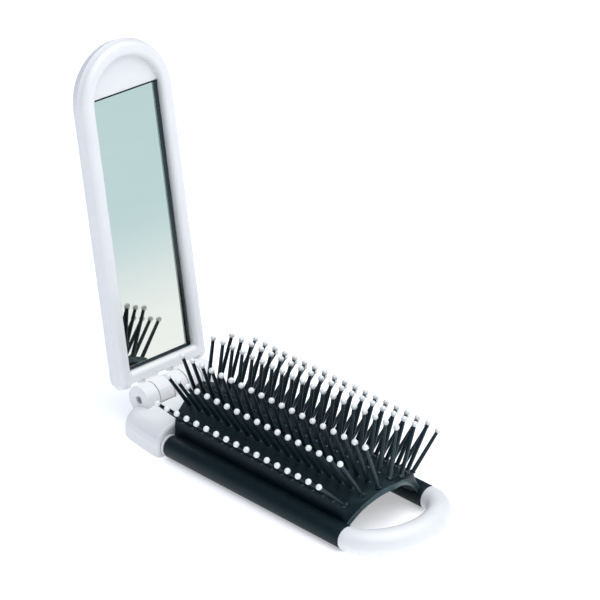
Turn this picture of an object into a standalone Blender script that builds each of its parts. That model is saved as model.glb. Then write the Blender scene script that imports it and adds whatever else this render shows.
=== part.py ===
"""Folding pocket hairbrush: a looped frame, a snap-through pin pad and a lid with a mirror.

Frame of the part: +X runs from the lid hinge to the bow, +Y across the brush and +Z up.
The origin is on the underside of the hinge block, below the axis of the hinge pin.
"""

import math

import bmesh
import bpy
from mathutils import Matrix, Vector

# Clearances between pieces
SEAT_GAP = 0.0003
GLUE_GAP = 0.0002
RUNNING_GAP = 0.0003
CUT_OVERRUN = 0.002

# Looped frame: two legs and the bow that joins them
LEG_SPACING = 0.03006
LEG_RADIUS = 0.0021
BOW_END_RADIUS = 0.00317
BOW_MIDDLE_RADIUS = 0.0036
BOW_REACH = 0.0152
LEG_TAIL = 0.0085
SOCKET_END_PLAY = 0.0005
COLLAR_RADIUS = 0.003
COLLAR_WIDTH = 0.0008
ROD_SIDES = 20
BOW_STEPS = 22

# Sleeves of the pad, which turn on the legs
SLEEVE_RADIUS = 0.00317
SLEEVE_LENGTH = 0.0666
SLEEVE_SIDES = 24

# Arched pad: half outline from the crown down to the foot, as shares of half span and rise
PAD_FOOT_INSET = 0.00223
PAD_RISE = 0.0093
PAD_FOOT_HEIGHT = 0.0059
PAD_THICKNESS = 0.0012
PAD_END_BULGE = 0.004
PAD_END_POWER = 1.3
PAD_OUTLINE_SHARES = ((0.0, 1.0), (0.315, 0.875), (0.635, 0.738), (0.965, 0.49), (1.0, 0.0))
PAD_CURVE_STEPS = 24
PAD_STRIP_STEPS = 2

# Pin rows, from the centre row outwards; a row's base is a point of the pad's outline
PIN_OVERHANG = 0.0008
PIN_LENGTHS = (0.0139, 0.0142, 0.014, 0.0126)
PIN_ROOT_RADIUS = 0.00055
PIN_TIP_RADIUS = 0.00045
PIN_SIDES = 6
PIN_SINK = 0.0006
RAIL_WIDTH = 0.0016
RAIL_END = 0.0008
PIN_COUNTS = (19, 19, 18, 17)
PIN_LEANS = (9.0, 20.2, 33.6, 46.4)

# Where each row stands once the pad is pressed in, from the centre row outwards
PRESSED_LEANS = (9.0, -4.0, -12.0, -20.0)
PRESSED_ACROSS_SHARES = (-0.086, 0.359, 0.648, 0.938)
PRESSED_DROP_SHARES = (1.0, 0.905, 0.782, 0.593)
PRESSED_DROP = 0.0217

# Ball tips, as rings at shares of the radius above and below the centre
BALL_RADIUS = 0.00092
BALL_RING_SHARES = (-0.35, 0.45, 0.92)

# Hinge
HINGE_HEIGHT = 0.0096
KNUCKLE_RADIUS = 0.004
KNUCKLE_BORE = 0.0012
KNUCKLE_STEPS = 20
KNUCKLE_SLOT_GAP = 0.0004
CENTRE_KNUCKLE_HALF = 0.0024
LID_KNUCKLE_WIDTH = 0.0049
END_KNUCKLE_WIDTH = 0.0043
HINGE_PIN_RADIUS = 0.0009
HINGE_PIN_RECESS = 0.0008
HINGE_PIN_SIDES = 16

# Hinge block, as stations along X: share of length, of half width and of height
BLOCK_FRONT = 0.015
BLOCK_REAR = -0.002
BLOCK_HALF_WIDTH = 0.019
BLOCK_HEIGHT = 0.0091
BLOCK_SECTION_POWER = 4.0
BLOCK_SECTION_STEPS = 20
BLOCK_FOOT_CHAMFER = 0.0005
BLOCK_STATION_SHARES = (
    (0.0, 0.77, 0.72),
    (0.03, 0.84, 0.84),
    (0.10, 0.89, 0.93),
    (0.25, 0.925, 0.98),
    (0.50, 0.96, 1.0),
    (0.75, 0.985, 1.0),
    (0.93, 0.997, 1.0),
    (0.98, 0.985, 0.975),
    (1.0, 0.96, 0.925),
)
BLOCK_NOTCH_CLEARANCE = 0.0007

# Lid, standing with its length up and its open side to +X before it leans back; its depths
# run from the plane of the rim, which lies a setback behind the hinge axis
LID_LEAN = 9.02
LID_SETBACK = 0.002
LID_LENGTH = 0.09785
LID_HALF_WIDTH = 0.01605
LID_THICKNESS = 0.0067
LID_BOTTOM = 0.0024
LID_CORNER = 0.0026
LID_BACK_FILLET = 0.0026
LID_RIM_FILLET = 0.0018
LID_SIDE_BULGE = 0.0004
RECESS_HALF_WIDTH = 0.0117
RECESS_BOTTOM = 0.0072
RECESS_DEPTH = 0.0022
RECESS_CORNER = 0.0005
RECESS_EDGE_FILLET = 0.0012
LID_FILLET_STEPS = 4
LID_ARC_STEPS = 24
LID_CORNER_STEPS = 4

# Mirror and the tape that holds it
MIRROR_LENGTH = 0.0759
MIRROR_HALF_WIDTH = 0.0113
MIRROR_BOTTOM = 0.0076
MIRROR_DEPTH = 0.0019
MIRROR_THICKNESS = 0.0015
MIRROR_CHAMFER = 0.0002
TAPE_THICKNESS = 0.00025
TAPE_MARGIN = 0.0015

# Places worked out from the sizes above
LEG_HALF_SPACING = LEG_SPACING / 2
LEG_HEIGHT = SLEEVE_RADIUS
SLEEVE_START = BLOCK_FRONT + COLLAR_WIDTH + 2 * SEAT_GAP
SLEEVE_END = SLEEVE_START + SLEEVE_LENGTH
PAD_START = BLOCK_FRONT + SEAT_GAP
PAD_MIDDLE = (PAD_START + SLEEVE_END) / 2
PAD_HALF_SPAN = LEG_HALF_SPACING - PAD_FOOT_INSET
PIN_PITCH = (SLEEVE_END - PAD_START + 2 * PIN_OVERHANG) / (max(PIN_COUNTS) - 1)
BOW_START = SLEEVE_END + SEAT_GAP
END_KNUCKLE_INNER = CENTRE_KNUCKLE_HALF + LID_KNUCKLE_WIDTH + 2 * SEAT_GAP
END_KNUCKLE_OUTER = END_KNUCKLE_INNER + END_KNUCKLE_WIDTH
LID_KNUCKLE_INNER = CENTRE_KNUCKLE_HALF + SEAT_GAP


def clear_scene():
    for item in list(bpy.data.objects):
        bpy.data.objects.remove(item, do_unlink=True)


def make_material(name, colour, roughness, metallic=0.0):
    material = bpy.data.materials.new(name)
    material.use_nodes = True
    shader = material.node_tree.nodes["Principled BSDF"]
    shader.inputs["Base Color"].default_value = (*colour, 1.0)
    shader.inputs["Roughness"].default_value = roughness
    shader.inputs["Metallic"].default_value = metallic
    return material


def make_object(name, mesh_builder, material, parent=None):
    """Runs a function that fills a bmesh and links the result as one object."""
    mesh = bpy.data.meshes.new(name)
    shape = bmesh.new()
    mesh_builder(shape)
    bmesh.ops.remove_doubles(shape, verts=shape.verts, dist=SEAT_GAP / 100)
    bmesh.ops.recalc_face_normals(shape, faces=shape.faces)
    shape.to_mesh(mesh)
    shape.free()
    mesh.materials.append(material)
    mesh.shade_smooth()
    mesh.set_sharp_from_angle(angle=math.radians(35))
    item = bpy.data.objects.new(name, mesh)
    bpy.context.collection.objects.link(item)
    item.parent = parent
    return item


def make_axis(name, place, turn=(0.0, 0.0, 0.0)):
    """An empty on a joint's axis, the parent of what turns or slides there."""
    axis = bpy.data.objects.new(name, None)
    axis.empty_display_size = KNUCKLE_RADIUS
    axis.location = place
    axis.rotation_euler = turn
    bpy.context.collection.objects.link(axis)
    return axis


def combine(target, tool, operation):
    """Adds a Boolean with a hidden tool object."""
    tool.hide_render = True
    tool.display_type = "WIRE"
    step = target.modifiers.new(f"{operation.lower()} {tool.name}", "BOOLEAN")
    step.operation = operation
    step.solver = "EXACT"
    step.object = tool
    return step


def add_loft(shape, rings, closed=False):
    """Bridges rings of points into a skin, capped at both ends unless the loft is closed."""
    loops = [[shape.verts.new(point) for point in ring] for ring in rings]
    pairs = list(zip(loops, loops[1:]))
    if closed:
        pairs.append((loops[-1], loops[0]))
    for first, second in pairs:
        count = len(first)
        for index in range(count):
            following = (index + 1) % count
            shape.faces.new((first[index], first[following], second[following], second[index]))
    if not closed:
        shape.faces.new(loops[0])
        shape.faces.new(reversed(loops[-1]))


def circle_ring(centre, tangent, radius, sides):
    """A ring of points round a level tangent, with one point straight up."""
    side = Vector((-tangent.y, tangent.x, 0.0)).normalized()
    up = Vector((0.0, 0.0, 1.0))
    ring = []
    for index in range(sides):
        angle = 2 * math.pi * index / sides
        ring.append(centre + (side * math.sin(angle) + up * math.cos(angle)) * radius)
    return ring


def add_rod(shape, start, end, radius, sides):
    """A straight round bar between two points at one level."""
    tangent = (end - start).normalized()
    add_loft(shape, [circle_ring(place, tangent, radius, sides) for place in (start, end)])


def add_block(shape, low, high):
    """A box between two corners."""
    size = Vector(high) - Vector(low)
    middle = (Vector(high) + Vector(low)) / 2
    place = Matrix.Translation(middle) @ Matrix.Diagonal((*size, 1.0))
    bmesh.ops.create_cube(shape, size=1.0, matrix=place)


def mixed(first, second, share):
    return first + (second - first) * share


# Looped frame

def bow_station(share):
    """Centre, tangent and radius of the bow, from the -Y leg at 0 to the +Y leg at 1."""
    angle = math.pi * (share - 0.5)
    swell = math.cos(angle)
    radius = mixed(BOW_END_RADIUS, BOW_MIDDLE_RADIUS, swell)
    depth = BOW_REACH - SEAT_GAP - BOW_MIDDLE_RADIUS
    centre = Vector((BOW_START + depth * swell, LEG_HALF_SPACING * math.sin(angle), radius))
    tangent = Vector((-depth * math.sin(angle), LEG_HALF_SPACING * math.cos(angle), 0.0))
    return centre, tangent.normalized(), radius


def frame_mesh(shape):
    along = Vector((1.0, 0.0, 0.0))
    rings = []
    collar_start = BLOCK_FRONT + SEAT_GAP
    turned = (
        (LEG_TAIL, LEG_RADIUS),
        (collar_start, LEG_RADIUS),
        (collar_start, COLLAR_RADIUS),
        (collar_start + COLLAR_WIDTH, COLLAR_RADIUS),
        (collar_start + COLLAR_WIDTH, LEG_RADIUS),
        (BOW_START, LEG_RADIUS),
    )
    for side, stations in ((-1, turned), (1, reversed(turned))):
        leg = []
        for place, radius in stations:
            centre = Vector((place, side * LEG_HALF_SPACING, LEG_HEIGHT))
            leg.append(circle_ring(centre, along * -side, radius, ROD_SIDES))
        if side == 1:
            for step in range(BOW_STEPS + 1):
                centre, tangent, radius = bow_station(step / BOW_STEPS)
                rings.append(circle_ring(centre, tangent, radius, ROD_SIDES))
        rings.extend(leg)
    add_loft(shape, rings)


def build_frame(white):
    return make_object("frame_bow", frame_mesh, white)


# Sleeves

def sleeve_mesh(shape):
    along = Vector((1.0, 0.0, 0.0))
    bore = LEG_RADIUS + RUNNING_GAP
    rings = []
    for place, radius in ((0.0, bore), (0.0, SLEEVE_RADIUS), (SLEEVE_LENGTH, SLEEVE_RADIUS), (SLEEVE_LENGTH, bore)):
        rings.append(circle_ring(Vector((place, 0.0, 0.0)), along, radius, SLEEVE_SIDES))
    add_loft(shape, rings, closed=True)


def build_sleeves(black):
    for name, side in (("pad_sleeve_left", -1), ("pad_sleeve_right", 1)):
        axis = make_axis(f"{name}_axis", (SLEEVE_START, side * LEG_HALF_SPACING, LEG_HEIGHT))
        make_object(name, sleeve_mesh, black, axis)


# Pad

def outline_knot(index):
    """A point of the pad's outline; negative indices are the -Y half."""
    last = len(PAD_OUTLINE_SHARES) - 1
    across, up = PAD_OUTLINE_SHARES[min(abs(index), last)]
    side = -1 if index < 0 else 1
    point = Vector((side * across * PAD_HALF_SPAN, PAD_FOOT_HEIGHT + up * PAD_RISE))
    if abs(index) > last:
        point.y -= PAD_RISE * PAD_OUTLINE_SHARES[last - 1][1]
    return point


def pad_point(position):
    """Catmull-Rom curve through the outline's knots: across and up at a knot position."""
    start = math.floor(position)
    share = position - start
    before, first, second, after = (outline_knot(start + step) for step in (-1, 0, 1, 2))
    square = share * share
    cube = square * share
    return 0.5 * (
        2 * first
        + (second - before) * share
        + (2 * before - 5 * first + 4 * second - after) * square
        + (3 * first - before - 3 * second + after) * cube
    )


def pad_normal(position):
    """Unit normal of the outline, pointing out of the arch."""
    nudge = 1 / PAD_CURVE_STEPS
    run = pad_point(position + nudge) - pad_point(position - nudge)
    return Vector((-run.y, run.x)).normalized()


def pad_end(across):
    """How far the pad's end stands out past its foot, at a distance across."""
    share = min(abs(across) / PAD_HALF_SPAN, 1.0)
    return PAD_END_BULGE * (1 - share ** PAD_END_POWER)


def edges_beside(row, reach):
    """Knot positions of the two points of the outline at a reach to either side of a row."""
    nudge = 1 / PAD_CURVE_STEPS
    speed = (pad_point(row + nudge) - pad_point(row - nudge)).length / (2 * nudge)
    return row - reach / speed, row + reach / speed


def slot_edges(row):
    return edges_beside(row, RAIL_WIDTH / 2 + SEAT_GAP)


def row_span(row):
    """First and last pin of a row along X, from the number of its pins."""
    half = (PIN_COUNTS[abs(row)] - 1) / 2 * PIN_PITCH
    return PAD_MIDDLE - half, PAD_MIDDLE + half


def pad_columns():
    """Knot positions across the pad, each with the row whose slot follows it, if any."""
    outermost = len(PIN_COUNTS) - 1
    foot = len(PAD_OUTLINE_SHARES) - 1
    columns = []
    position = -foot
    for row in range(-outermost, outermost + 1):
        near, far = slot_edges(row)
        for step in range(PAD_STRIP_STEPS):
            columns.append((mixed(position, near, step / PAD_STRIP_STEPS), None))
        columns.append((near, row))
        position = far
    for step in range(PAD_STRIP_STEPS + 1):
        columns.append((mixed(position, foot, step / PAD_STRIP_STEPS), None))
    return columns


def nearest_row(columns, index):
    """The row whose pins set how far the slot reaches at a column."""
    for _, row in columns[max(index - 1, 0):index + 1]:
        if row is not None:
            return row
    outermost = len(PIN_COUNTS) - 1
    return max(-outermost, min(outermost, round(columns[index][0])))


def pad_places(across, row):
    """Places along X of the pad's ends and of a row's slot, at a distance across."""
    first, last = row_span(row)
    bulge = pad_end(across)
    reach = RAIL_END + SEAT_GAP
    return PAD_START - bulge, first - reach, last + reach, SLEEVE_END + bulge


def pad_mesh(shape):
    """The arch as a wall of even thickness, with a slot left open for each row of pins."""
    columns = pad_columns()
    skins = ([], [])
    for index, (position, _) in enumerate(columns):
        point = pad_point(position)
        inner = point - pad_normal(position) * PAD_THICKNESS
        places = pad_places(point.x, nearest_row(columns, index))
        for skin, (across, up) in zip(skins, (point, inner)):
            skin.append([shape.verts.new((place, across, up)) for place in places])
    cells = set()
    for index in range(len(columns) - 1):
        for step in range(len(skins[0][0]) - 1):
            if columns[index][1] is None or step != 1:
                cells.add((index, step))
    for index, step in cells:
        corners = ((index, step), (index, step + 1), (index + 1, step + 1), (index + 1, step))
        beyond = ((index - 1, step), (index, step + 1), (index + 1, step), (index, step - 1))
        for skin in skins:
            shape.faces.new([skin[column][place] for column, place in corners])
        for number, neighbour in enumerate(beyond):
            if neighbour in cells:
                continue
            edge = (corners[number], corners[(number + 1) % len(corners)])
            wall = [skins[0][column][place] for column, place in edge]
            wall.extend(skins[1][column][place] for column, place in reversed(edge))
            shape.faces.new(wall)


def build_pad(black):
    return make_object("pad_membrane", pad_mesh, black)


# Pin rows

def row_rest(row):
    """Base point and lean of a row with the pad raised; lean is in degrees towards +Y."""
    base = pad_point(row)
    side = -1 if row < 0 else 1
    return base, side * PIN_LEANS[abs(row)]


def row_pressed(row):
    """Base point and lean of a row with the pad pressed in."""
    side = -1 if row < 0 else 1
    across = side * PRESSED_ACROSS_SHARES[abs(row)] * PAD_HALF_SPAN
    up = pad_point(row).y - PRESSED_DROP * row_drop_share(row)
    return Vector((across, up)), side * PRESSED_LEANS[abs(row)]


def row_drop_share(row):
    return PRESSED_DROP_SHARES[abs(row)]


def row_axis(row):
    """Point in the YZ plane about which a row turns from raised to pressed."""
    base, lean = row_rest(row)
    pressed, pressed_lean = row_pressed(row)
    turn = math.radians(lean - pressed_lean)
    middle = (base + pressed) / 2
    chord = pressed - base
    across = Vector((-chord.y, chord.x))
    return middle + across / (2 * math.tan(turn / 2))


def lean_direction(lean):
    angle = math.radians(lean)
    return Vector((0.0, math.sin(angle), math.cos(angle)))


def row_name(row):
    return str(row + len(PIN_COUNTS))


def row_pin_places(row):
    first, _ = row_span(row)
    base, _ = row_rest(row)
    for index in range(PIN_COUNTS[abs(row)]):
        yield Vector((first + index * PIN_PITCH, base.x, base.y))


def rail_mesh(row, origin):
    """A bar cut from the arch's own wall, flush in its slot."""
    def fill(shape):
        first, last = row_span(row)
        edges = [(pad_point(edge), pad_normal(edge)) for edge in edges_beside(row, RAIL_WIDTH / 2)]
        ring = [point for point, _ in edges]
        ring.extend(point - normal * PAD_THICKNESS for point, normal in reversed(edges))
        ends = []
        for place in (first - RAIL_END, last + RAIL_END):
            ends.append([Vector((place, point.x, point.y)) - origin for point in ring])
        add_loft(shape, ends)
    return fill


def pin_profile(length):
    """Heights and radii of a pin, from inside its rail to the top of its ball."""
    profile = [(-PIN_SINK, PIN_ROOT_RADIUS)]
    for share in BALL_RING_SHARES:
        height = BALL_RADIUS * share
        radius = math.sqrt(BALL_RADIUS ** 2 - height ** 2)
        profile.append((length + height, radius))
    neck = -math.sqrt(BALL_RADIUS ** 2 - PIN_TIP_RADIUS ** 2)
    profile.insert(1, (length + neck, PIN_TIP_RADIUS))
    return profile


def pins_mesh(row, origin):
    """The pins of a row, each turned in one profile with its ball."""
    def fill(shape):
        _, lean = row_rest(row)
        tilt = Matrix.Rotation(-math.radians(lean), 4, "X")
        for base in row_pin_places(row):
            place = Matrix.Translation(base - origin) @ tilt
            rings = []
            for height, radius in pin_profile(PIN_LENGTHS[abs(row)]):
                ring = []
                for index in range(PIN_SIDES):
                    angle = 2 * math.pi * index / PIN_SIDES
                    around = Vector((math.cos(angle) * radius, math.sin(angle) * radius, height))
                    ring.append(place @ around)
                rings.append(ring)
            add_loft(shape, rings)
    return fill


def build_rows(black):
    outermost = len(PIN_COUNTS) - 1
    for row in range(-outermost, outermost + 1):
        number = row_name(row)
        base, _ = row_rest(row)
        point = base if row == 0 else row_axis(row)
        origin = Vector((PAD_MIDDLE, point.x, point.y))
        axis = make_axis(f"pin_row_{number}_axis", origin)
        rail = make_object(f"pin_row_{number}", rail_mesh(row, origin), black, axis)
        pins = make_object(f"pin_row_{number}_pins", pins_mesh(row, origin), black, axis)
        combine(rail, pins, "UNION")


# Hinge block

def block_ring(share, width_share, height_share):
    """Section of the block: a flat foot under a superelliptic dome."""
    place = mixed(BLOCK_REAR, BLOCK_FRONT, share)
    half = BLOCK_HALF_WIDTH * width_share
    height = BLOCK_HEIGHT * height_share
    foot = half - BLOCK_FOOT_CHAMFER
    ring = [Vector((place, foot, 0.0)), Vector((place, -foot, 0.0))]
    power = 2 / BLOCK_SECTION_POWER
    for index in range(BLOCK_SECTION_STEPS + 1):
        angle = math.pi * index / BLOCK_SECTION_STEPS
        across = -math.copysign(abs(math.cos(angle)) ** power, math.cos(angle))
        up = math.sin(angle) ** power
        rise = BLOCK_FOOT_CHAMFER + (height - BLOCK_FOOT_CHAMFER) * up
        ring.append(Vector((place, half * across, rise)))
    return ring


def block_mesh(shape):
    add_loft(shape, [block_ring(*shares) for shares in BLOCK_STATION_SHARES])


def base_knuckle_spans():
    return (
        (-END_KNUCKLE_OUTER, -END_KNUCKLE_INNER),
        (-CENTRE_KNUCKLE_HALF, CENTRE_KNUCKLE_HALF),
        (END_KNUCKLE_INNER, END_KNUCKLE_OUTER),
    )


def lid_knuckle_spans():
    outer = LID_KNUCKLE_INNER + LID_KNUCKLE_WIDTH
    return (-outer, -LID_KNUCKLE_INNER), (LID_KNUCKLE_INNER, outer)


def barrel_arc(start, turn, radius, steps):
    """Points in the XZ plane round the hinge axis, angles in degrees from +X towards +Z."""
    points = []
    for index in range(steps + 1):
        angle = math.radians(start + turn * index / steps)
        points.append((radius * math.cos(angle), radius * math.sin(angle)))
    return points


def add_profile(shape, profile, low, high, height=0.0):
    """A profile in the XZ plane carried across from one distance to another."""
    add_loft(shape, [[Vector((x, across, height + z)) for x, z in profile] for across in (low, high)])


def base_barrel_mesh(shape):
    """The fixed knuckles before they are cut apart: round, with a straight front cheek."""
    profile = barrel_arc(0.0, 270.0, KNUCKLE_RADIUS, KNUCKLE_STEPS)
    profile.append((KNUCKLE_RADIUS, -KNUCKLE_RADIUS))
    add_profile(shape, profile, -END_KNUCKLE_OUTER, END_KNUCKLE_OUTER, HINGE_HEIGHT)


def knuckle_pockets_mesh(shape):
    """Room for the lid's knuckles, open to the rear where the lid swings down flat."""
    radius = KNUCKLE_RADIUS + RUNNING_GAP
    profile = barrel_arc(-90.0, 180.0, radius, KNUCKLE_STEPS)
    rear = BLOCK_REAR - KNUCKLE_RADIUS - CUT_OVERRUN
    profile.extend(((rear, radius), (rear, -radius)))
    for low, high in lid_knuckle_spans():
        add_profile(shape, profile, low - SEAT_GAP, high + SEAT_GAP, HINGE_HEIGHT)


def notch_mesh(shape):
    """Room for the end of the pad, which stands back past its feet."""
    edge = []
    outer = LEG_HALF_SPACING - SLEEVE_RADIUS
    for step in range(-BLOCK_SECTION_STEPS, BLOCK_SECTION_STEPS + 1):
        across = outer * step / BLOCK_SECTION_STEPS
        share = abs(step) / BLOCK_SECTION_STEPS
        reach = (PAD_END_BULGE + BLOCK_NOTCH_CLEARANCE) * (1 - share ** PAD_END_POWER)
        edge.append((BLOCK_FRONT - reach, across))
    edge.append((BLOCK_FRONT + CUT_OVERRUN, outer))
    edge.append((BLOCK_FRONT + CUT_OVERRUN, -outer))
    rings = []
    for height in (-CUT_OVERRUN, BLOCK_HEIGHT + CUT_OVERRUN):
        rings.append([Vector((place, across, height)) for place, across in edge])
    add_loft(shape, rings)


def sockets_mesh(shape):
    radius = LEG_RADIUS + SEAT_GAP
    for side in (-1, 1):
        start = Vector((LEG_TAIL - SOCKET_END_PLAY, side * LEG_HALF_SPACING, LEG_HEIGHT))
        end = Vector((BLOCK_FRONT + CUT_OVERRUN, side * LEG_HALF_SPACING, LEG_HEIGHT))
        add_rod(shape, start, end, radius, ROD_SIDES)


def hinge_bore_mesh(height):
    """The bore for the hinge pin, through all the knuckles."""
    def fill(shape):
        reach = END_KNUCKLE_OUTER + CUT_OVERRUN
        profile = barrel_arc(0.0, 360.0, KNUCKLE_BORE, HINGE_PIN_SIDES)[:-1]
        add_profile(shape, profile, -reach, reach, height)
    return fill


def build_hinge_block(white):
    block = make_object("hinge_block", block_mesh, white)
    cuts = (
        ("notch_for_pad", notch_mesh, "DIFFERENCE"),
        ("leg_sockets", sockets_mesh, "DIFFERENCE"),
        ("base_barrel", base_barrel_mesh, "UNION"),
        ("knuckle_pockets", knuckle_pockets_mesh, "DIFFERENCE"),
        ("block_hinge_bore", hinge_bore_mesh(HINGE_HEIGHT), "DIFFERENCE"),
    )
    for name, builder, operation in cuts:
        combine(block, make_object(name, builder, white), operation)


def hinge_pin_mesh(shape):
    reach = END_KNUCKLE_OUTER - HINGE_PIN_RECESS
    profile = barrel_arc(0.0, 360.0, HINGE_PIN_RADIUS, HINGE_PIN_SIDES)[:-1]
    add_profile(shape, profile, -reach, reach)


# Lid

def lid_outline(inset, half_width, bottom, corner, depth):
    """Outline with a round top and two rounded bottom corners, set in by a distance."""
    place = depth - LID_SETBACK
    centre = LID_LENGTH - LID_HALF_WIDTH
    half = half_width - inset
    low = bottom + inset
    radius = max(corner - inset, SEAT_GAP)
    ring = []
    for index in range(LID_ARC_STEPS + 1):
        angle = math.pi * index / LID_ARC_STEPS
        ring.append(Vector((place, half * math.cos(angle), centre + half * math.sin(angle))))
    for side, start in ((-1, math.pi), (1, 1.5 * math.pi)):
        for index in range(LID_CORNER_STEPS + 1):
            angle = start + 0.5 * math.pi * index / LID_CORNER_STEPS
            ring.append(Vector((
                place,
                side * (half - radius) + radius * math.cos(angle),
                low + radius + radius * math.sin(angle),
            )))
    return ring


def fillet_arc(radius):
    """Points of a quarter arc, as how far it still has to go along and how far it has sunk."""
    arc = []
    for index in range(LID_FILLET_STEPS + 1):
        angle = 0.5 * math.pi * index / LID_FILLET_STEPS
        arc.append((radius * (1 - math.sin(angle)), radius * (1 - math.cos(angle))))
    return arc


def lid_profile():
    """Insets and depths of the lid's skin, from the middle of its back to its rim."""
    profile = []
    for left, risen in fillet_arc(LID_BACK_FILLET):
        profile.append((LID_SIDE_BULGE + left, risen - LID_THICKNESS))
    profile.append((0.0, -LID_RIM_FILLET - (LID_THICKNESS - LID_BACK_FILLET - LID_RIM_FILLET) / 2))
    for left, sunk in reversed(fillet_arc(LID_RIM_FILLET)):
        profile.append((LID_SIDE_BULGE + left, -sunk))
    return profile


def lid_mesh(shape):
    """Skin from the back over the rim and down to the floor of the recess."""
    rings = []
    for inset, depth in lid_profile():
        rings.append(lid_outline(inset, LID_HALF_WIDTH, LID_BOTTOM, LID_CORNER, depth))
    recess = [(-left, -sunk) for left, sunk in fillet_arc(RECESS_EDGE_FILLET)]
    recess.append((0.0, -RECESS_DEPTH))
    for inset, depth in recess:
        rings.append(lid_outline(inset, RECESS_HALF_WIDTH, RECESS_BOTTOM, RECESS_CORNER, depth))
    add_loft(shape, rings)


def lid_barrel_mesh(shape):
    """The lid's knuckles before they are cut apart, with a web up into the lid's bottom wall."""
    beyond = math.degrees(math.asin(LID_SETBACK / KNUCKLE_RADIUS))
    profile = barrel_arc(180.0, 270.0 + beyond, KNUCKLE_RADIUS, KNUCKLE_STEPS)
    root = (LID_BOTTOM + RECESS_BOTTOM) / 2
    profile.extend(((-LID_SETBACK - SEAT_GAP, root), (-KNUCKLE_RADIUS, root)))
    reach = (END_KNUCKLE_INNER + END_KNUCKLE_OUTER) / 2
    add_profile(shape, profile, -reach, reach)


def knuckle_slots_mesh(shape):
    """Room for the fixed knuckles, with a cut-out over each in the lid's bottom edge."""
    for low, high in base_knuckle_spans():
        add_block(
            shape,
            (-LID_SETBACK - LID_THICKNESS - CUT_OVERRUN, low - SEAT_GAP, -KNUCKLE_RADIUS - CUT_OVERRUN),
            (KNUCKLE_RADIUS + CUT_OVERRUN, high + SEAT_GAP, KNUCKLE_RADIUS + KNUCKLE_SLOT_GAP),
        )


def mirror_pocket_mesh(shape):
    floor = LID_SETBACK + MIRROR_DEPTH + MIRROR_THICKNESS + TAPE_THICKNESS + 2 * GLUE_GAP
    half = MIRROR_HALF_WIDTH + SEAT_GAP
    add_block(
        shape,
        (-floor, -half, MIRROR_BOTTOM - SEAT_GAP),
        (SEAT_GAP - LID_SETBACK - RECESS_DEPTH, half, MIRROR_BOTTOM + MIRROR_LENGTH + SEAT_GAP),
    )


def plate_mesh(front, back, half, bottom, top, chamfer):
    """A flat plate with a fine chamfer round its front face."""
    def fill(shape):
        rings = []
        for depth, inset in ((back, 0.0), (front - chamfer, 0.0), (front, chamfer)):
            rings.append([
                Vector((depth, -half + inset, bottom + inset)),
                Vector((depth, half - inset, bottom + inset)),
                Vector((depth, half - inset, top - inset)),
                Vector((depth, -half + inset, top - inset)),
            ])
        add_loft(shape, rings)
    return fill


def build_lid(white, glass, tape):
    axis = make_axis("lid_hinge_axis", (0.0, 0.0, HINGE_HEIGHT), (0.0, -math.radians(LID_LEAN), 0.0))
    lid = make_object("lid_shell", lid_mesh, white, axis)
    cuts = (
        ("lid_barrel", lid_barrel_mesh, "UNION"),
        ("knuckle_slots", knuckle_slots_mesh, "DIFFERENCE"),
        ("lid_hinge_bore", hinge_bore_mesh(0.0), "DIFFERENCE"),
        ("mirror_pocket", mirror_pocket_mesh, "DIFFERENCE"),
    )
    for name, builder, operation in cuts:
        combine(lid, make_object(name, builder, white, axis), operation)
    top = MIRROR_BOTTOM + MIRROR_LENGTH
    face = LID_SETBACK + MIRROR_DEPTH
    back = face + MIRROR_THICKNESS
    pane = plate_mesh(-face, -back, MIRROR_HALF_WIDTH, MIRROR_BOTTOM, top, MIRROR_CHAMFER)
    make_object("mirror_glass", pane, glass, axis)
    front = back + GLUE_GAP
    strip = plate_mesh(
        -front, -front - TAPE_THICKNESS, MIRROR_HALF_WIDTH - TAPE_MARGIN,
        MIRROR_BOTTOM + TAPE_MARGIN, top - TAPE_MARGIN, 0.0,
    )
    make_object("mirror_tape", strip, tape, axis)


def main():
    clear_scene()
    white = make_material("white ABS", (0.80, 0.82, 0.86), 0.35)
    black = make_material("black soft nylon", (0.012, 0.017, 0.019), 0.45)
    glass = make_material("mirror glass", (0.62, 0.72, 0.72), 0.03, 1.0)
    tape = make_material("mounting tape", (0.6, 0.6, 0.58), 0.8)
    steel = make_material("hinge pin steel", (0.35, 0.35, 0.36), 0.35, 1.0)
    build_frame(white)
    build_hinge_block(white)
    build_sleeves(black)
    build_pad(black)
    build_rows(black)
    pin_axis = make_axis("hinge_pin_axis", (0.0, 0.0, HINGE_HEIGHT))
    make_object("hinge_pin", hinge_pin_mesh, steel, pin_axis)
    build_lid(white, glass, tape)


main()
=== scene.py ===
"""Folding pocket hairbrush with a snap-through pin pad and a mirror in its lid."""

import math

import bmesh
import bpy
from mathutils import Matrix, Vector


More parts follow.
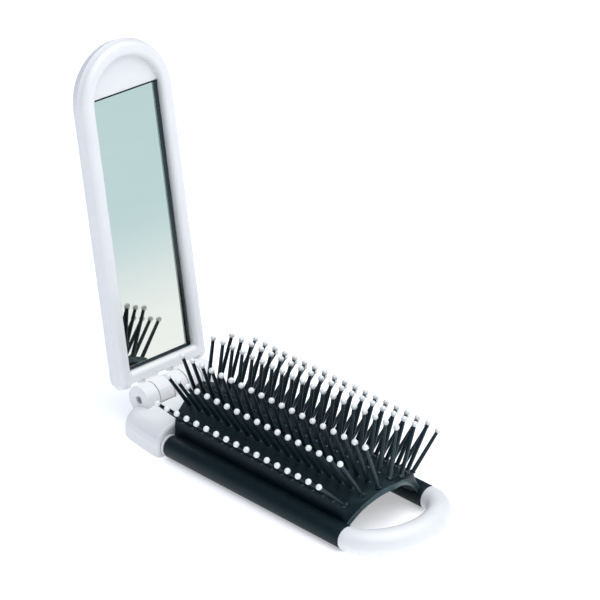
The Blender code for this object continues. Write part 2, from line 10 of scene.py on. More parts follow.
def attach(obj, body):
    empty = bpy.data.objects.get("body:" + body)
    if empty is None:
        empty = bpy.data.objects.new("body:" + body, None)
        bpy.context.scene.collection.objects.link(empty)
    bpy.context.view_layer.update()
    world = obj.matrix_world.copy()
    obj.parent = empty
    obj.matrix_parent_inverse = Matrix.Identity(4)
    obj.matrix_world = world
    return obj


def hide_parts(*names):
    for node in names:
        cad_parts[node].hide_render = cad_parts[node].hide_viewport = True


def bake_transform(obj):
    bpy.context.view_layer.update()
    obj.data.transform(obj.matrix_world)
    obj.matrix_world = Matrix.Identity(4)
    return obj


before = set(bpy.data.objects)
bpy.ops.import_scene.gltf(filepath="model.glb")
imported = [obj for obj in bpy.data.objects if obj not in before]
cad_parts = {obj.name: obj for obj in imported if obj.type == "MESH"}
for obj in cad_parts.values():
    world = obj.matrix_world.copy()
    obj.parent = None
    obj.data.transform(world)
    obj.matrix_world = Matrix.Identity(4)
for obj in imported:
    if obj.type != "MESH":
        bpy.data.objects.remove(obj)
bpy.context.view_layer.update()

# The looped frame. One round rod of white ABS: two straight legs, and the thicker bow that
# joins them and serves as the handle. Moulded in one shot, with its legs pressed into the
# hinge block. A thin collar on each leg keeps the pad's sleeve off the block.

LEG_SPACING = 0.03006
LEG_HALF_SPACING = LEG_SPACING / 2
LEG_RADIUS = 0.0021
LEG_HEIGHT = 0.00317
LEG_TAIL = 0.0085
COLLAR_START = 0.0153
COLLAR_WIDTH = 0.0008
COLLAR_RADIUS = 0.003
BOW_START = 0.0833
BOW_DEPTH = 0.0113
BOW_END_RADIUS = 0.00317
BOW_MIDDLE_RADIUS = 0.0036
BOW_STEPS = 48
ROD_SIDES = 48
ROD_EDGE = 0.0002
EDGE_STEPS = 3
ABS_COLOURS = ("#e9eae9", "#f0f0ee")
ABS_CLOUD = 0.006
ABS_GRAIN = 0.00035
ABS_GRAIN_DEPTH = 0.00001
ABS_ROUGHNESS = (0.3, 0.42)
SHARP_TURN = 60.0
SMOOTH_TURN = 35.0
ROD_SMOOTH_TURN = 50.0


def linear(shade):
    """An sRGB hex colour as linear values with an alpha of one."""
    values = []
    for start in (1, 3, 5):
        value = int(shade[start:start + 2], 16) / 255
        values.append(value / 12.92 if value <= 0.04045 else ((value + 0.055) / 1.055) ** 2.4)
    return (*values, 1.0)


def add_node(material, kind, sockets, **settings):
    """A node with its settings; a socket is given a value, or another node's output."""
    node = material.node_tree.nodes.new(kind)
    for name, value in settings.items():
        setattr(node, name, value)
    for name, value in sockets.items():
        if isinstance(value, bpy.types.NodeSocket):
            material.node_tree.links.new(value, node.inputs[name])
        else:
            node.inputs[name].default_value = value
    return node


def new_finish(name, **sockets):
    """A material with its place on the piece, and its shader's own values set."""
    material = bpy.data.materials.new(name)
    material.use_nodes = True
    shader = material.node_tree.nodes["Principled BSDF"]
    for socket, value in sockets.items():
        shader.inputs[socket.replace("_", " ")].default_value = value
    place = add_node(material, "ShaderNodeTexCoord", {}).outputs["Object"]
    return material, shader, place


def join(material, output, shader, socket):
    material.node_tree.links.new(output, shader.inputs[socket])


def moulded_abs(name, soft_edge):
    """White ABS from a lightly spark-eroded mould: a satin sheen over a very fine grain,
    which is drawn coarser than it is so that it shows, slightly uneven in gloss where the
    melt cooled. With a soft edge, its sharp edges are shaded a little round."""
    material, shader, place = new_finish(name, IOR=1.54)
    cloud = add_node(material, "ShaderNodeTexNoise", {
        "Vector": place, "Scale": 1 / ABS_CLOUD, "Detail": 2.0, "Roughness": 0.5,
    })
    shade = add_node(material, "ShaderNodeMix", {
        "Factor": cloud.outputs["Fac"], "A": linear(ABS_COLOURS[0]), "B": linear(ABS_COLOURS[1]),
    }, data_type="RGBA")
    gloss = add_node(material, "ShaderNodeMapRange", {
        "Value": cloud.outputs["Fac"], "To Min": ABS_ROUGHNESS[0], "To Max": ABS_ROUGHNESS[1],
    })
    grain = add_node(material, "ShaderNodeTexNoise", {
        "Vector": place, "Scale": 1 / ABS_GRAIN, "Detail": 2.0, "Roughness": 0.6,
    })
    bump = add_node(material, "ShaderNodeBump", {
        "Height": grain.outputs["Fac"], "Strength": 0.25, "Distance": ABS_GRAIN_DEPTH,
    })
    if soft_edge:
        edge = add_node(material, "ShaderNodeBevel", {"Radius": soft_edge}, samples=6)
        join(material, edge.outputs["Normal"], bump, "Normal")
    join(material, shade.outputs["Result"], shader, "Base Color")
    join(material, gloss.outputs["Result"], shader, "Roughness")
    join(material, bump.outputs["Normal"], shader, "Normal")
    return material


def put_piece(name, shape, materials, body, smooth_to=SMOOTH_TURN):
    """Links a finished shape as one object, which rides on a body if one is named. Turns of
    its surface up to smooth_to degrees are shaded smooth."""
    mesh = bpy.data.meshes.new(name)
    shape.to_mesh(mesh)
    shape.free()
    for material in materials:
        mesh.materials.append(material)
    mesh.shade_smooth()
    mesh.set_sharp_from_angle(angle=math.radians(smooth_to))
    piece = bpy.data.objects.new(name, mesh)
    bpy.context.scene.collection.objects.link(piece)
    if body:
        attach(piece, body)
    return piece


def round_corners(shape, reach, steps):
    """Rounds the edges where the surface turns outwards sharply."""
    limit = math.radians(SHARP_TURN)
    corners = [edge for edge in shape.edges
               if edge.is_manifold and edge.calc_face_angle_signed() > limit]
    bmesh.ops.bevel(
        shape, geom=corners, offset=reach, offset_type="OFFSET", segments=steps, profile=0.5,
        affect="EDGES", clamp_overlap=True, material=-1,
    )


def bow_station(share):
    """Centre, direction and radius of the bow, from the -Y leg at 0 to the +Y leg at 1."""
    angle = math.pi * (share - 0.5)
    swell = math.cos(angle)
    radius = BOW_END_RADIUS + (BOW_MIDDLE_RADIUS - BOW_END_RADIUS) * swell
    centre = Vector((BOW_START + BOW_DEPTH * swell, LEG_HALF_SPACING * math.sin(angle), radius))
    along = Vector((-BOW_DEPTH * math.sin(angle), LEG_HALF_SPACING * math.cos(angle), 0.0))
    return centre, along, radius


def leg_stations(side):
    """Stations of a leg from its tail to the bow, with the collar as two steps."""
    collar_end = COLLAR_START + COLLAR_WIDTH
    turned = (
        (LEG_TAIL, LEG_RADIUS), (COLLAR_START, LEG_RADIUS), (COLLAR_START, COLLAR_RADIUS),
        (collar_end, COLLAR_RADIUS), (collar_end, LEG_RADIUS), (BOW_START, LEG_RADIUS),
    )
    ahead = Vector((-side, 0.0, 0.0))
    return [(Vector((x, side * LEG_HALF_SPACING, LEG_HEIGHT)), ahead, r) for x, r in turned]


def station_matrix(centre, along, radius):
    """Places a flat ring of radius one at a station, square to the rod."""
    turn = along.to_track_quat("Z", "Y").to_matrix().to_4x4()
    return Matrix.Translation(centre) @ turn @ Matrix.Scale(radius, 4)


def extrude_ring(shape, ring):
    """Extrudes a chain of edges in place, and gives its new corners and the new chain."""
    grown = bmesh.ops.extrude_edge_only(shape, edges=ring)["geom"]
    corners = [part for part in grown if isinstance(part, bmesh.types.BMVert)]
    ring = [part for part in grown if isinstance(part, bmesh.types.BMEdge)
            and part.verts[0] in corners and part.verts[1] in corners]
    return corners, ring


white_abs = moulded_abs("moulded white ABS", 0.0)

rod = bmesh.new()
stations = leg_stations(-1)
stations += [bow_station(step / BOW_STEPS) for step in range(BOW_STEPS + 1)]
stations += reversed(leg_stations(1))
before = station_matrix(*stations[0])
bmesh.ops.create_circle(rod, cap_ends=True, segments=ROD_SIDES, radius=1.0, matrix=before)
ring = list(rod.edges)
for station in stations[1:]:
    after = station_matrix(*station)
    corners, ring = extrude_ring(rod, ring)
    bmesh.ops.transform(rod, matrix=after @ before.inverted(), verts=corners)
    before = after
bmesh.ops.edgeloop_fill(rod, edges=ring)
bmesh.ops.recalc_face_normals(rod, faces=rod.faces)
round_corners(rod, ROD_EDGE, EDGE_STEPS)
bow_rod = put_piece("bow_rod", rod, [white_abs], "base", ROD_SMOOTH_TURN)
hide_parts("frame_bow")

# The two sleeves. Each is a tube of black soft nylon that forms one edge of the pad and turns
# on a leg of the frame, so the pad can snap through. Moulded smooth, with eased ends.

SLEEVE_START = 0.0164
SLEEVE_LENGTH = 0.0666
SLEEVE_END = SLEEVE_START + SLEEVE_LENGTH
SLEEVE_RADIUS = 0.00317
SLEEVE_BORE = 0.0024
SLEEVE_SIDES = 64
SLEEVE_EDGE = 0.00035
MERGE_REACH = 0.000001
NYLON_COLOURS = ("#0e191d", "#15242a")
NYLON_TINT = "#dcfbff"
NYLON_CLOUD = 0.004
NYLON_GRAIN = 0.0003
NYLON_GRAIN_DEPTH = 0.000012
NYLON_ROUGHNESS = (0.42, 0.55)
NYLON_SHINE = 0.18


def soft_nylon(name, shades, roughness, shine):
    """Black nylon with a faint blue-green cast: satin, with a fine moulded grain that spreads
    the highlights and is drawn coarser than it is, and a gloss that drifts from place to
    place."""
    material, shader, place = new_finish(
        name, IOR=1.53, Specular_IOR_Level=shine, Specular_Tint=linear(NYLON_TINT))
    cloud = add_node(material, "ShaderNodeTexNoise", {
        "Vector": place, "Scale": 1 / NYLON_CLOUD, "Detail": 3.0, "Roughness": 0.55,
    })
    shade = add_node(material, "ShaderNodeMix", {
        "Factor": cloud.outputs["Fac"], "A": linear(shades[0]), "B": linear(shades[1]),
    }, data_type="RGBA")
    gloss = add_node(material, "ShaderNodeMapRange", {
        "Value": cloud.outputs["Fac"], "To Min": roughness[0], "To Max": roughness[1],
    })
    grain = add_node(material, "ShaderNodeTexNoise", {
        "Vector": place, "Scale": 1 / NYLON_GRAIN, "Detail": 2.0, "Roughness": 0.6,
    })
    bump = add_node(material, "ShaderNodeBump", {
        "Height": grain.outputs["Fac"], "Strength": 0.35, "Distance": NYLON_GRAIN_DEPTH,
    })
    join(material, shade.outputs["Result"], shader, "Base Color")
    join(material, gloss.outputs["Result"], shader, "Roughness")
    join(material, bump.outputs["Normal"], shader, "Normal")
    return material


black_nylon = soft_nylon("moulded black nylon", NYLON_COLOURS, NYLON_ROUGHNESS, NYLON_SHINE)

for side, hand in ((-1, "left"), (1, "right")):
    tube = bmesh.new()
    wall = ((SLEEVE_START, SLEEVE_BORE), (SLEEVE_START, SLEEVE_RADIUS),
            (SLEEVE_END, SLEEVE_RADIUS), (SLEEVE_END, SLEEVE_BORE))
    corners = [tube.verts.new((x, side * LEG_HALF_SPACING, LEG_HEIGHT + r)) for x, r in wall]
    edges = [tube.edges.new((corners[n - 1], corners[n])) for n in range(len(corners))]
    bmesh.ops.spin(
        tube, geom=corners + edges, cent=(0.0, side * LEG_HALF_SPACING, LEG_HEIGHT),
        axis=(1.0, 0.0, 0.0), angle=math.tau, steps=SLEEVE_SIDES, use_merge=True,
    )
    bmesh.ops.remove_doubles(tube, verts=tube.verts, dist=MERGE_REACH)
    bmesh.ops.recalc_face_normals(tube, faces=tube.faces)
    round_corners(tube, SLEEVE_EDGE, EDGE_STEPS)
    sleeve = put_piece(f"sleeve_tube_{hand}", tube, [black_nylon], f"sleeve_{hand}")
    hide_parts(f"pad_sleeve_{hand}")

# The arched pad. A thin springy wall of black nylon, moulded with its pins, from sleeve to
# sleeve, with grooved ends. It flexes between the rows and at its feet, beside the sleeves, so
# each row carries its own strip of it; the strips at the feet ride on no body.

PAD_HALF_SPAN = 0.0128
PAD_RISE = 0.0093
PAD_FOOT_HEIGHT = 0.0059
PAD_THICKNESS = 0.0012
PAD_LIP = 0.0005
PAD_GROOVE = 0.00032
PAD_GROOVE_DEPTH = 0.00045
PAD_EDGE = 0.00015
PAD_EDGE_STEPS = 2
PAD_START = 0.0153
PAD_END_BULGE = 0.00405
PAD_END_POWER = 1.3
PAD_FRONT_SETBACK = 0.00108
PAD_FRONT_HALF_SPAN = 0.0134
PAD_FRONT_FOOT_HEIGHT = 0.00622
PAD_FRONT_RISE = 0.008
PAD_END_STEPS = ((0.0, 1.0), (0.0008, 0.72), (0.0018, 0.36), (0.0028, 0.12), (0.0042, 0.0))
PAD_TOE = (0.0133, 0.005)
PAD_OUTLINE_SHARES = ((0.0, 1.0), (0.315, 0.875), (0.635, 0.738), (0.965, 0.49), (1.0, 0.0))
PAD_FOOT = len(PAD_OUTLINE_SHARES) - 1
PAD_STRIP_STEPS = 10
OUTER_ROW = 3
FOOT_CUT = 3.45
# Painted highlight: the paler colours of the trimmed ends.
CUT_HIGHLIGHT_COLOURS = ("#26383b", "#3d5356")
CUT_ROUGHNESS = (0.32, 0.45)
CUT_SHINE = 0.6


def outline_knot(index):
    """A point of the pad's outline as across and up. The knots are the roots of the pin rows,
    counted from the middle row, with -Y negative, then the feet of the pad, and last a knot
    below each foot that only aims the curve there."""
    across, up = PAD_OUTLINE_SHARES[min(abs(index), PAD_FOOT)]
    side = -1 if index < 0 else 1
    point = Vector((side * across * PAD_HALF_SPAN, PAD_FOOT_HEIGHT + up * PAD_RISE))
    if abs(index) > PAD_FOOT:
        point.y -= PAD_RISE * PAD_OUTLINE_SHARES[PAD_FOOT - 1][1]
    return point


def pad_point(position):
    """A smooth curve through the outline's knots, read at a knot position."""
    start = math.floor(position)
    share = position - start
    a, b, c, d = (outline_knot(start + step) for step in (-1, 0, 1, 2))
    bend = (2 * a - 5 * b + 4 * c - d) * share ** 2 + (3 * b - a - 3 * c + d) * share ** 3
    return 0.5 * (2 * b + (c - a) * share + bend)


def pad_run(position):
    """Unit direction of the outline at a knot position, towards +Y."""
    nudge = 1 / (4 * PAD_STRIP_STEPS)
    return (pad_point(position + nudge) - pad_point(position - nudge)).normalized()


def end_reach(share):
    """How far an end stands out past its feet, at a share of the way from crown to foot."""
    return PAD_END_BULGE * (1 - min(share, 1.0) ** PAD_END_POWER)


def rear_shift(across):
    """The rear end of the pad is cut to a curve that fits round the hinge block."""
    return Vector((-end_reach(abs(across) / PAD_HALF_SPAN), 0.0, 0.0))


def front_shift(position, share):
    """The front end is cut to the same curve, and its rim sinks to a plain round arch, by a
    share of one at the rim itself and by less farther in."""
    part = position / PAD_FOOT
    arch_point = Vector((part * PAD_FRONT_HALF_SPAN,
                         PAD_FRONT_FOOT_HEIGHT + PAD_FRONT_RISE * (1 - part ** 2)))
    sunk = (arch_point - pad_point(position)) * share
    return Vector((end_reach(abs(part)) - PAD_FRONT_SETBACK, sunk.x, sunk.y))


pad_middle = (PAD_START + SLEEVE_END) / 2
pad_half_length = (SLEEVE_END - PAD_START) / 2

# The arch starts as its outline at the rear end, drawn out to the front in straight steps.
arch = bmesh.new()
steps = PAD_FOOT * PAD_STRIP_STEPS
outline = {step / PAD_STRIP_STEPS: pad_point(step / PAD_STRIP_STEPS)
           for step in range(-steps, steps + 1)}
toes = [Vector((side * PAD_TOE[0], PAD_TOE[1])) for side in (-1, 1)]
chain = [arch.verts.new((PAD_START, point.x, point.y))
         for point in (toes[0], *outline.values(), toes[1])]
for first, second in zip(chain, chain[1:]):
    arch.edges.new((first, second))
ring = list(arch.edges)
stations = [(inset - pad_half_length, share) for inset, share in PAD_END_STEPS]
stations += [(pad_half_length - inset, share) for inset, share in reversed(PAD_END_STEPS)]
curl = dict.fromkeys(chain, stations[0][1])
for reach, share in stations[1:]:
    corners, ring = extrude_ring(arch, ring)
    shift = pad_middle + reach - corners[0].co.x
    bmesh.ops.translate(arch, vec=(shift, 0.0, 0.0), verts=corners)
    curl.update(dict.fromkeys(corners, share))
rims = set(chain) | set(corners)

# Each half is then shifted to the curve of its end, and the front rim sinks.
for corner, share in curl.items():
    across = corner.co.yz
    position = min(outline, key=lambda place: (outline[place] - across).length)
    front = corner.co.x > pad_middle
    corner.co += front_shift(position, share) if front else rear_shift(across.x)

# The wall's thickness goes inwards, and it is more at the two ends, by a lip.
bmesh.ops.recalc_face_normals(arch, faces=arch.faces)
if sum(face.normal.z for face in arch.faces) < 0:
    bmesh.ops.reverse_faces(arch, faces=arch.faces)
outer = set(arch.verts)
bmesh.ops.solidify(arch, geom=arch.faces[:], thickness=PAD_THICKNESS)
cuts = [face for face in arch.faces if sum(corner in rims for corner in face.verts) == 2
        and sum(corner in outer for corner in face.verts) == 2]
posts = {edge for cut in cuts for edge in cut.edges
         if sum(corner in rims for corner in edge.verts) == 1}
for post in posts:
    root, tip = sorted(post.verts, key=lambda corner: corner not in rims)
    inwards = tip.co - root.co
    inwards.x = 0.0
    tip.co = root.co + inwards.normalized() * (PAD_THICKNESS + PAD_LIP)

# A groove runs along the middle of each cut end.
bmesh.ops.recalc_face_normals(arch, faces=arch.faces)
lips = bmesh.ops.inset_region(
    arch, faces=cuts, thickness=(PAD_THICKNESS + PAD_LIP - PAD_GROOVE) / 2,
    use_even_offset=True, use_boundary=True,
)["faces"]
for corner in {corner for cut in cuts for corner in cut.verts}:
    corner.co.x -= math.copysign(PAD_GROOVE_DEPTH, corner.co.x - pad_middle)
# The cut ends and their lips take the second material, the trimmed edge with its painted
# highlight.
for face in cuts + lips:
    face.material_index = 1
arch.normal_update()
round_corners(arch, PAD_EDGE, PAD_EDGE_STEPS)
whole_arch = bpy.data.meshes.new("whole_arch")
arch.to_mesh(whole_arch)
arch.free()

# The trimmed ends have more shine, and a paler colour that is a painted highlight for the light
# these end faces catch.
cut_nylon_painted_highlight = soft_nylon("trimmed edge of black nylon, painted highlight", CUT_HIGHLIGHT_COLOURS, CUT_ROUGHNESS, CUT_SHINE)


def pad_strip(low, high):
    """The part of the arch between two knot positions, closed again at its cuts. A strip
    that ends at a foot is also cut at the crown, which leaves out the other foot."""
    strip = bmesh.new()
    strip.from_mesh(whole_arch)
    for position, outwards in ((low, -1), (high, 1)):
        if abs(position) == PAD_FOOT:
            position, outwards = 0.0, -outwards
        run = pad_run(position) * outwards
        point = pad_point(position)
        kept = bmesh.ops.bisect_plane(
            strip, geom=strip.verts[:] + strip.edges[:] + strip.faces[:], dist=MERGE_REACH,
            plane_co=(0.0, point.x, point.y), plane_no=(0.0, run.x, run.y), clear_outer=True,
        )
        rim = [part for part in kept["geom_cut"] if isinstance(part, bmesh.types.BMEdge)]
        bmesh.ops.holes_fill(strip, edges=rim)
    bmesh.ops.remove_doubles(strip, verts=strip.verts, dist=MERGE_REACH)
    return strip


# Seven strips ride on the rows of pins. The two at the feet ride on no body.
pad_cuts = [-PAD_FOOT, -FOOT_CUT]
pad_cuts += [row + 0.5 for row in range(-OUTER_ROW, OUTER_ROW)]
pad_cuts += [FOOT_CUT, PAD_FOOT]
for number, (low, high) in enumerate(zip(pad_cuts, pad_cuts[1:])):
    nearer, farther = sorted((low, high), key=abs)
    reaches_foot = abs(farther) == PAD_FOOT
    rider = f"row_{min(max(number, 1), 2 * OUTER_ROW + 1)}"
    piece = put_piece(
        f"pad_strip_{number}", pad_strip(low, high), [black_nylon, cut_nylon_painted_highlight],
        None if reaches_foot else rider)
    if reaches_foot:
        start, end = ((pad_middle, *pad_point(position)) for position in (farther, nearer))
        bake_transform(piece)
    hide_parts("pad_membrane")

# The seven rows of pins. Each pin is a tapered stem of black nylon moulded out of the pad,
# with a small boss at its root, and a white nylon ball on its tip that spares the scalp.

PIN_PITCH = 0.00385
PIN_SINK = 0.0006
PIN_ROOT_RADIUS = 0.0006
PIN_TIP_RADIUS = 0.00048
PIN_SIDES = 14
PIN_ROUGHNESS = (0.26, 0.36)
PIN_SHINE = 0.4
BOSS_RADIUS = 0.00095
BOSS_HEIGHT = 0.0004
BALL_RADIUS = 0.00082
BALL_SIDES = 14
BALL_RINGS = 9
BALL_COLOURS = ("#e6eae4", "#f3f5f0")
BALL_ROUGHNESS = 0.3
BALL_SMOOTH_TURN = 60.0
# A value each for the middle row, the rows next to it, and so on to the outermost.
PIN_COUNTS = (19, 19, 18, 17)
PIN_LENGTHS = (0.0139, 0.0142, 0.014, 0.0126)
PIN_LEANS = (9.0, 20.2, 33.6, 46.4)

# The stems come out of a polished part of the mould, so they shine more than the pad.
glossy_nylon = soft_nylon("glossy stem of black nylon", NYLON_COLOURS, PIN_ROUGHNESS, PIN_SHINE)

# White nylon, moulded smooth: a soft gloss on an almost even white.
white_nylon, ball_shader, ball_place = new_finish(
    "white nylon ball", IOR=1.53, Roughness=BALL_ROUGHNESS)
ball_cloud = add_node(white_nylon, "ShaderNodeTexNoise", {
    "Vector": ball_place, "Scale": 1 / BALL_RADIUS, "Detail": 2.0,
})
ball_shade = add_node(white_nylon, "ShaderNodeMix", {
    "Factor": ball_cloud.outputs["Fac"],
    "A": linear(BALL_COLOURS[0]), "B": linear(BALL_COLOURS[1]),
}, data_type="RGBA")
join(white_nylon, ball_shade.outputs["Result"], ball_shader, "Base Color")

for row in range(-OUTER_ROW, OUTER_ROW + 1):
    place = abs(row)
    lean = math.radians(PIN_LEANS[place]) * (-1 if row < 0 else 1)
    foot = pad_point(row)
    stems = bmesh.new()
    balls = bmesh.new()
    for number in range(PIN_COUNTS[place]):
        x = pad_middle + (number - (PIN_COUNTS[place] - 1) / 2) * PIN_PITCH
        root = Matrix.Translation((x, foot.x, foot.y)) @ Matrix.Rotation(-lean, 4, "X")
        length = PIN_LENGTHS[place] + PIN_SINK
        bmesh.ops.create_cone(
            stems, cap_ends=True, segments=PIN_SIDES, radius1=PIN_ROOT_RADIUS,
            radius2=PIN_TIP_RADIUS, depth=length,
            matrix=root @ Matrix.Translation((0.0, 0.0, length / 2 - PIN_SINK)),
        )
        bmesh.ops.create_cone(
            stems, cap_ends=True, segments=PIN_SIDES, radius1=BOSS_RADIUS,
            radius2=PIN_ROOT_RADIUS, depth=BOSS_HEIGHT,
            matrix=root @ Matrix.Translation((0.0, 0.0, BOSS_HEIGHT / 2)),
        )
        bmesh.ops.create_uvsphere(
            balls, u_segments=BALL_SIDES, v_segments=BALL_RINGS, radius=BALL_RADIUS,
            matrix=root @ Matrix.Translation((0.0, 0.0, PIN_LENGTHS[place])),
        )
    name = f"pin_row_{row + OUTER_ROW + 1}"
    rider = f"row_{row + OUTER_ROW + 1}"
    piece = put_piece(f"{name}_stems", stems, [glossy_nylon], rider)
    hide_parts(name)
    put_piece(f"{name}_balls", balls, [white_nylon], rider, BALL_SMOOTH_TURN)

# The hinge block. A domed block of the same white ABS, with a curved notch for the pad's
# end, two sockets for the legs in front and three knuckles of the hinge standing on it.

ABS_SOFT_EDGE = 0.00025

eased_abs = moulded_abs("moulded white ABS with eased edges", ABS_SOFT_EDGE)


def refinish(name, material):
    """Gives a carried-over CAD node its one material."""
    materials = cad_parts[name].data.materials
    materials.clear()
    materials.append(material)


refinish("hinge_block", eased_abs)

# The hinge pin. A short length of drawn steel wire, pushed through the five knuckles and
# held by friction, with its ends a little below the outer faces.

STEEL_STREAK = 0.0004
STEEL_STRETCH = (1.0, 0.05, 1.0)
STEEL_COLOURS = ("#8e9196", "#a9acb0")
STEEL_ROUGHNESS = (0.22, 0.4)

# Steel drawn through a die: bright, with fine streaks along the wire.
drawn_steel, steel_shader, steel_place = new_finish(
    "drawn steel wire", Metallic=1.0, Anisotropic=0.4)
steel_stretch = add_node(drawn_steel, "ShaderNodeMapping", {
    "Vector": steel_place, "Scale": STEEL_STRETCH,
})
steel_streak = add_node(drawn_steel, "ShaderNodeTexNoise", {
    "Vector": steel_stretch.outputs["Vector"], "Scale": 1 / STEEL_STREAK, "Detail": 3.0,
})
steel_shade = add_node(drawn_steel, "ShaderNodeMix", {
    "Factor": steel_streak.outputs["Fac"],
    "A": linear(STEEL_COLOURS[0]), "B": linear(STEEL_COLOURS[1]),
}, data_type="RGBA")
steel_gloss = add_node(drawn_steel, "ShaderNodeMapRange", {
    "Value": steel_streak.outputs["Fac"],
    "To Min": STEEL_ROUGHNESS[0], "To Max": STEEL_ROUGHNESS[1],
})
join(drawn_steel, steel_shade.outputs["Result"], steel_shader, "Base Color")
join(drawn_steel, steel_gloss.outputs["Result"], steel_shader, "Roughness")
refinish("hinge_pin", drawn_steel)

# The lid. A long shallow shell of white ABS with a round top, a recess for the mirror and two
# knuckles on its bottom edge. It folds down over the pins.

refinish("lid_shell", eased_abs)

# The mirror. A cut rectangle of glass, silvered on its back, laid in the recess. The clear
# glass is drawn by what is seen in it: the silver behind, tinted by the glass, with a painted
# reflection that makes it a little darker and greener towards the top, and its four dark teal
# cut edges.

HINGE_HEIGHT = 0.0096
LID_LEAN = 9.02
MIRROR_FRONT = -0.0039
MIRROR_THICKNESS = 0.0015
MIRROR_SILVER = 0.0009
MIRROR_BOTTOM = 0.0076
MIRROR_LENGTH = 0.0759
MIRROR_HALF_WIDTH = 0.0113
GLASS_WALL = 0.00012
# Painted reflection: the silver's colour at the bottom and at the top, and the heights it fades
# between.
MIRROR_TINT_AND_REFLECTION_COLOURS = ("#cfcfc5", "#a3b5b0")
MIRROR_REFLECTION_FADE = (0.02, 0.062)
GLASS_COLOURS = ("#0a1d21", "#14313a")
GLASS_CLOUD = 0.003

# Silver on polished glass: a clear reflection, tinted by the glass in front of it. Over it
# lies a painted reflection of the room: its colour grows darker and greener with height.
silvered, mirror_shader, mirror_place = new_finish(
    "silvered glass", Metallic=1.0, Roughness=0.02)
mirror_parts = add_node(silvered, "ShaderNodeSeparateXYZ", {"Vector": mirror_place})
painted_reflection_height = add_node(silvered, "ShaderNodeMapRange", {
    "Value": mirror_parts.outputs["Z"], "From Min": MIRROR_REFLECTION_FADE[0], "From Max": MIRROR_REFLECTION_FADE[1],
}, interpolation_type="SMOOTHSTEP")
mirror_tint_and_reflection = add_node(silvered, "ShaderNodeMix", {
    "Factor": painted_reflection_height.outputs["Result"],
    "A": linear(MIRROR_TINT_AND_REFLECTION_COLOURS[0]), "B": linear(MIRROR_TINT_AND_REFLECTION_COLOURS[1]),
}, data_type="RGBA")
join(silvered, mirror_tint_and_reflection.outputs["Result"], mirror_shader, "Base Color")

# Glass seen through its cut edge: deep teal, slightly cloudy, with a dull shine.
cut_glass, glass_shader, glass_place = new_finish("cut edge of glass", IOR=1.52, Roughness=0.18)
glass_cloud = add_node(cut_glass, "ShaderNodeTexNoise", {
    "Vector": glass_place, "Scale": 1 / GLASS_CLOUD, "Detail": 3.0,
})
glass_shade = add_node(cut_glass, "ShaderNodeMix", {
    "Factor": glass_cloud.outputs["Fac"],
    "A": linear(GLASS_COLOURS[0]), "B": linear(GLASS_COLOURS[1]),
}, data_type="RGBA")
join(cut_glass, glass_shade.outputs["Result"], glass_shader, "Base Color")

plate = bmesh.new()
size = Vector((MIRROR_THICKNESS, 2 * MIRROR_HALF_WIDTH, MIRROR_LENGTH))
centre = Vector((MIRROR_FRONT, 0.0, MIRROR_BOTTOM)) + Vector((-size.x, 0.0, size.z)) / 2
lid_place = Matrix.Translation((0.0, 0.0, HINGE_HEIGHT)) @ Matrix.Rotation(
    -math.radians(LID_LEAN), 4, "Y")
bmesh.ops.create_cube(
    plate, size=1.0,
    matrix=lid_place @ Matrix.Translation(centre) @ Matrix.Diagonal(size.to_4d()))
plate.normal_update()
face_on = max(plate.faces, key=lambda face: face.normal.x)
into = face_on.normal * -MIRROR_SILVER
bmesh.ops.inset_region(plate, faces=[face_on], thickness=GLASS_WALL, use_boundary=True)
for face in plate.faces:
    face.material_index = int(face is not face_on)
for corner in face_on.verts:
    corner.co += into
mirror = put_piece("mirror_plate", plate, [silvered, cut_glass], "lid")
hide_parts("mirror_glass")

# The tape. A pale foam strip, sticky on both faces, between the mirror's back and the floor
# of its pocket.

TAPE_CELL = 0.0004
TAPE_CELL_DEPTH = 0.00005
TAPE_COLOURS = ("#c9c9c2", "#dcdcd6")

# Foamed polyethylene: matt, with small closed cells.
foam, foam_shader, foam_place = new_finish("polyethylene foam tape", Roughness=0.85)
foam_cells = add_node(foam, "ShaderNodeTexVoronoi", {"Vector": foam_place, "Scale": 1 / TAPE_CELL})
foam_shade = add_node(foam, "ShaderNodeMix", {
    "Factor": foam_cells.outputs["Distance"],
    "A": linear(TAPE_COLOURS[0]), "B": linear(TAPE_COLOURS[1]),
}, data_type="RGBA")
foam_bump = add_node(foam, "ShaderNodeBump", {
    "Height": foam_cells.outputs["Distance"], "Strength": 0.4, "Distance": TAPE_CELL_DEPTH,
})
join(foam, foam_shade.outputs["Result"], foam_shader, "Base Color")
join(foam, foam_bump.outputs["Normal"], foam_shader, "Normal")
refinish("mirror_tape", foam)

# The table it stands on, the light and the camera. White paper that glows a little, so that
# its shadows stay pale, soft bluish light all round and one broad lamp above the front.

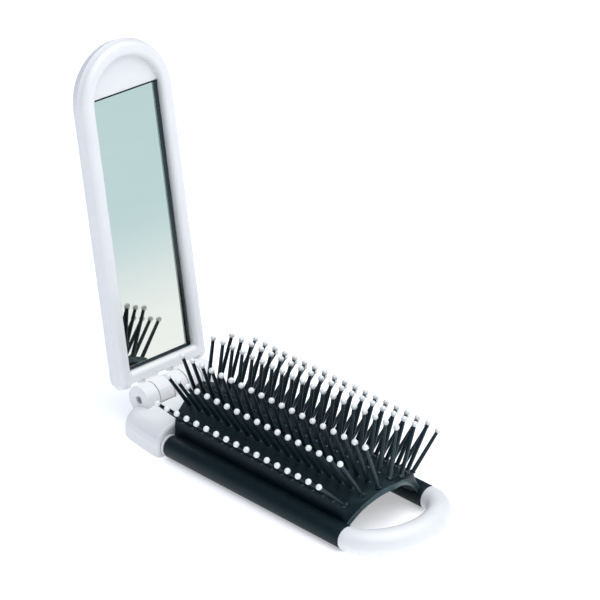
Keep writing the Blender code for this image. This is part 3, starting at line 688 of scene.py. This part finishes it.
FLOOR_REACH = 3.0
FLOOR_GLOW = 0.42
FLOOR_CLOUD = 0.025
FLOOR_COLOURS = ("#f4f6f8", "#fbfcfd")
SKY_COLOUR = "#aec4f2"
SKY_STRENGTH = 0.28
KEY_PLACE = (0.4, 0.06, 1.18)
KEY_SIZE = 1.8
KEY_POWER = 21.0
CAMERA_PLACE = (0.61021, -0.53345, 0.43867)
CAMERA_AZIMUTH = 46.377
CAMERA_ELEVATION = 26.453
CAMERA_LENS = 201.21
CAMERA_SENSOR = 36.0

table = bmesh.new()
bmesh.ops.create_grid(table, x_segments=1, y_segments=1, size=FLOOR_REACH)
table_mesh = bpy.data.meshes.new("floor")
table.to_mesh(table_mesh)
table.free()
paper, paper_shader, paper_place = new_finish(
    "white seamless paper", Roughness=0.9, Emission_Color=(1.0, 1.0, 1.0, 1.0),
    Emission_Strength=FLOOR_GLOW)
paper_cloud = add_node(paper, "ShaderNodeTexNoise", {
    "Vector": paper_place, "Scale": 1 / FLOOR_CLOUD,
})
paper_shade = add_node(paper, "ShaderNodeMix", {
    "Factor": paper_cloud.outputs["Fac"],
    "A": linear(FLOOR_COLOURS[0]), "B": linear(FLOOR_COLOURS[1]),
}, data_type="RGBA")
join(paper, paper_shade.outputs["Result"], paper_shader, "Base Color")
table_mesh.materials.append(paper)
floor = bpy.data.objects.new("floor", table_mesh)
bpy.context.scene.collection.objects.link(floor)

sky = bpy.data.worlds.new("soft white room")
sky.use_nodes = True
sky.node_tree.nodes["Background"].inputs["Color"].default_value = linear(SKY_COLOUR)
sky.node_tree.nodes["Background"].inputs["Strength"].default_value = SKY_STRENGTH
bpy.context.scene.world = sky

key = bpy.data.lights.new("key", "AREA")
key.shape = "DISK"
key.size = KEY_SIZE
key.energy = KEY_POWER
key_lamp = bpy.data.objects.new("key", key)
key_lamp.location = KEY_PLACE
key_lamp.rotation_euler = (-Vector(KEY_PLACE)).to_track_quat("-Z", "Y").to_euler()
bpy.context.scene.collection.objects.link(key_lamp)

lens = bpy.data.cameras.new("camera")
lens.sensor_width = CAMERA_SENSOR
lens.lens = CAMERA_LENS
lens.clip_start = 0.01
camera = bpy.data.objects.new("camera", lens)
camera.location = CAMERA_PLACE
camera.rotation_euler = (
    math.radians(90 - CAMERA_ELEVATION), 0.0, math.radians(CAMERA_AZIMUTH))
bpy.context.scene.collection.objects.link(camera)
bpy.context.scene.camera = camera
bpy.context.scene.view_settings.view_transform = "Standard"
